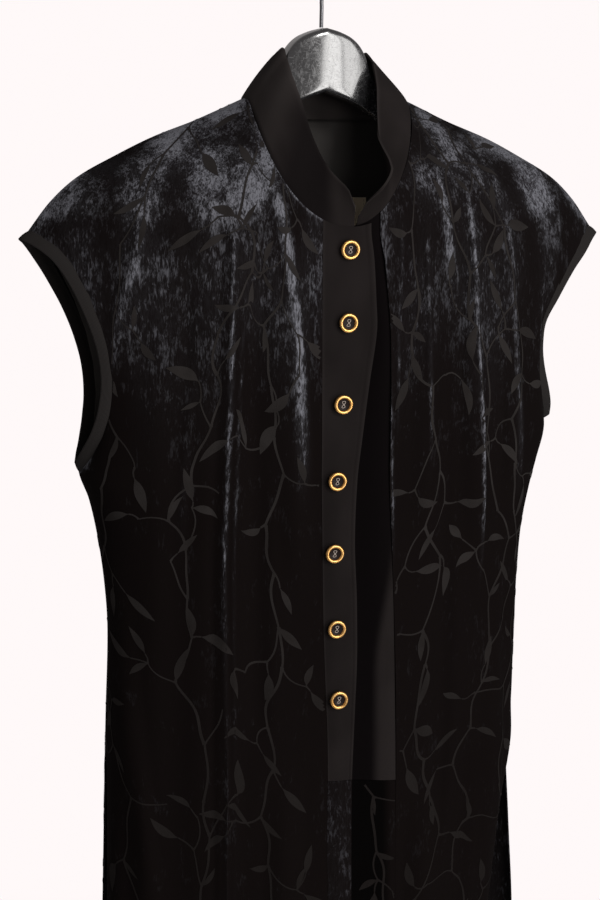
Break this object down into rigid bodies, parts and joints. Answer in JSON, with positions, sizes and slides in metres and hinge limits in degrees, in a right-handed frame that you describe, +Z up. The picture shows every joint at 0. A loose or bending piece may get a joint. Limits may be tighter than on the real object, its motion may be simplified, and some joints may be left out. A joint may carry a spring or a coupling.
{
  "type": "long velvet vest on a hanger",
  "caption": "Long sleeveless velvet vest with leafy vines, a tall stand collar, a buttoned crepe band, bound armholes and side slits, held up by a glossy black hanger.",
  "frame": {"origin": "the bearing point under the top of the hanger's hook, where a rail carries it", "axes": "+Z up, -Y the way the vest's front faces, +X the wearer's left"},
  "size_m": [0.572, 0.1617, 1.2537],
  "materials": {
    "velvet": "crushed burnt-out velvet with matte leafy vines",
    "crepe": "plain matt crepe",
    "rib_jersey": "fine rib jersey binding",
    "label_tape": "woven satin tape, bare",
    "gold_metal": "polished gold colour",
    "black_plastic": "gloss, with two holes and thread",
    "black_lacquer": "high gloss, finely scratched",
    "steel_wire": "bright wire"
  },
  "bodies": {
    "root": {"front_right": "velvet", "front_left": "velvet", "back": "velvet", "placket_right_lower": "velvet", "placket_left_lower": "velvet", "placket_right": "crepe", "placket_left": "crepe", "collar": "crepe", "back_lining": "crepe", "armhole_binding_right": "rib_jersey", "armhole_binding_left": "rib_jersey", "label": "label_tape", "button_rim_1": "gold_metal", "button_rim_2": "gold_metal", "button_rim_3": "gold_metal", "button_rim_4": "gold_metal", "button_rim_5": "gold_metal", "button_rim_6": "gold_metal", "button_rim_7": "gold_metal", "button_centre_1": "black_plastic", "button_centre_2": "black_plastic", "button_centre_3": "black_plastic", "button_centre_4": "black_plastic", "button_centre_5": "black_plastic", "button_centre_6": "black_plastic", "button_centre_7": "black_plastic", "hanger": "black_lacquer", "hanger_hook": "steel_wire"}
  },
  "joints": []
}
